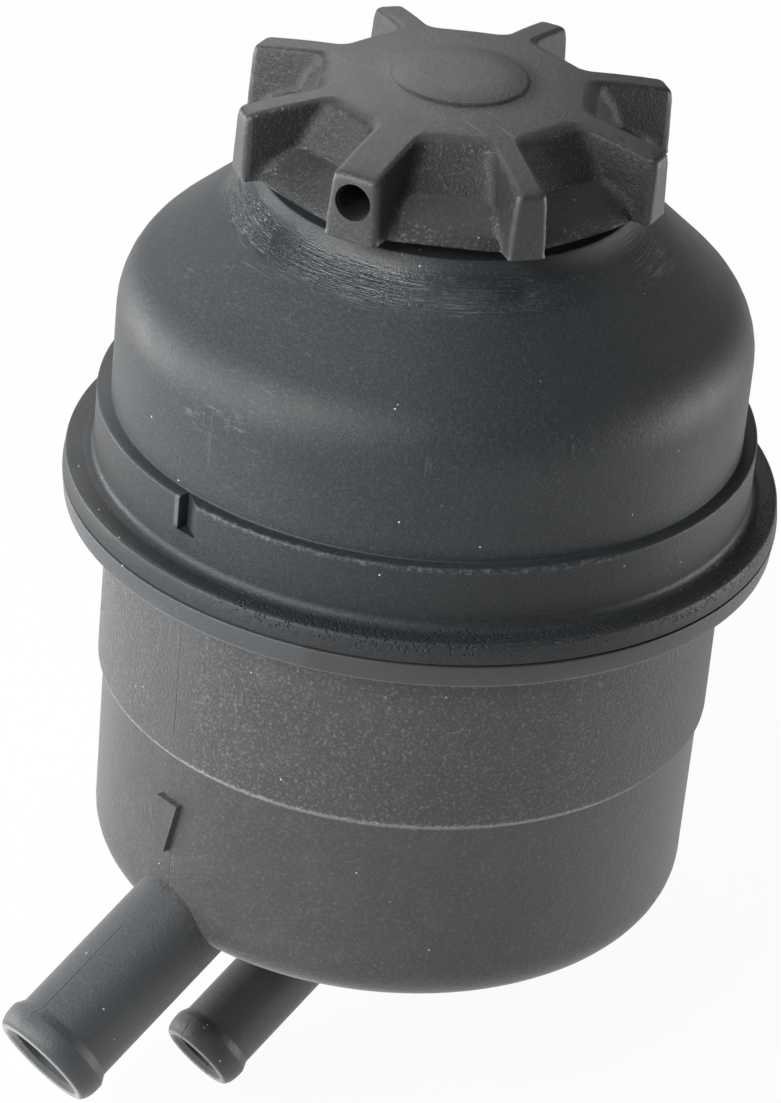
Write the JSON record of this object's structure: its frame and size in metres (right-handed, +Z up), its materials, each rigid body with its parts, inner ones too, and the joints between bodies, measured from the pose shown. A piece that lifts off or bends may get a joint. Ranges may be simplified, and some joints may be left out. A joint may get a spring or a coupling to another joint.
{
  "type": "power steering fluid reservoir",
  "caption": "Round moulded power steering reservoir with a star-shaped screw cap, a welded flange, a clamp band and two hose nipples.",
  "frame": {"origin": "on the reservoir's axis, halfway up the band of the cup that the strap clamp holds", "axes": "+Z up along the axis, out of the filler neck; both hose nipples slope down towards -Y, one above the other in the plane X = 0; +X is to the right when the nipples are seen from in front"},
  "size_m": [0.1058, 0.1239, 0.16],
  "materials": {
    "housing": "dark grey glass-filled polyamide, satin, scuffed",
    "cap": "dark grey polyamide, satin, rough between the ribs",
    "rubber": "black nitrile rubber",
    "inner_plastic": "natural polyamide",
    "filter_paper": "resin-treated filter paper",
    "foam": "open-cell foam",
    "spring_steel": "bare spring steel"
  },
  "bodies": {
    "reservoir": {"lower_housing": "housing", "upper_housing": "housing", "filter_seat_seal": "rubber", "filter_lower_cap": "inner_plastic", "filter_core": "inner_plastic", "filter_pleats": "filter_paper", "filter_upper_cap": "inner_plastic", "valve_cage": "inner_plastic", "valve_spring": "spring_steel", "hold_down_spring": "spring_steel", "baffle_plate": "inner_plastic"},
    "bypass_valve": {"bypass_valve_disc": "inner_plastic"},
    "cap_plate": {"seal_plate": "inner_plastic", "cap_gasket": "rubber", "vent_foam": "foam", "umbrella_valve": "rubber", "dipstick": "inner_plastic", "dipstick_pin": "spring_steel"},
    "cap": {"cap_shell": "cap", "retaining_ring": "spring_steel"}
  },
  "joints": [
    {"name": "bypass_lift", "type": "slide", "parent": "reservoir", "child": "bypass_valve", "axis": [0, 0, 1], "range_m": [0, 0.0025], "stiffness_N_per_m": 600, "springref_m": -0.002, "deforming": ["valve_spring"]},
    {"name": "cap_rise", "type": "slide", "parent": "reservoir", "child": "cap_plate", "axis": [0, 0, 1], "range_m": [0, 0.006]},
    {"name": "cap_turn", "type": "hinge", "parent": "cap_plate", "child": "cap", "pos_m": [0, 0, 0.07], "axis": [0, 0, 1], "range_deg": [0, 720]}
  ],
  "couplings": [
    {"joint": "cap_rise", "follows": "cap_turn", "m_per_rad": 0.00047746}
  ]
}
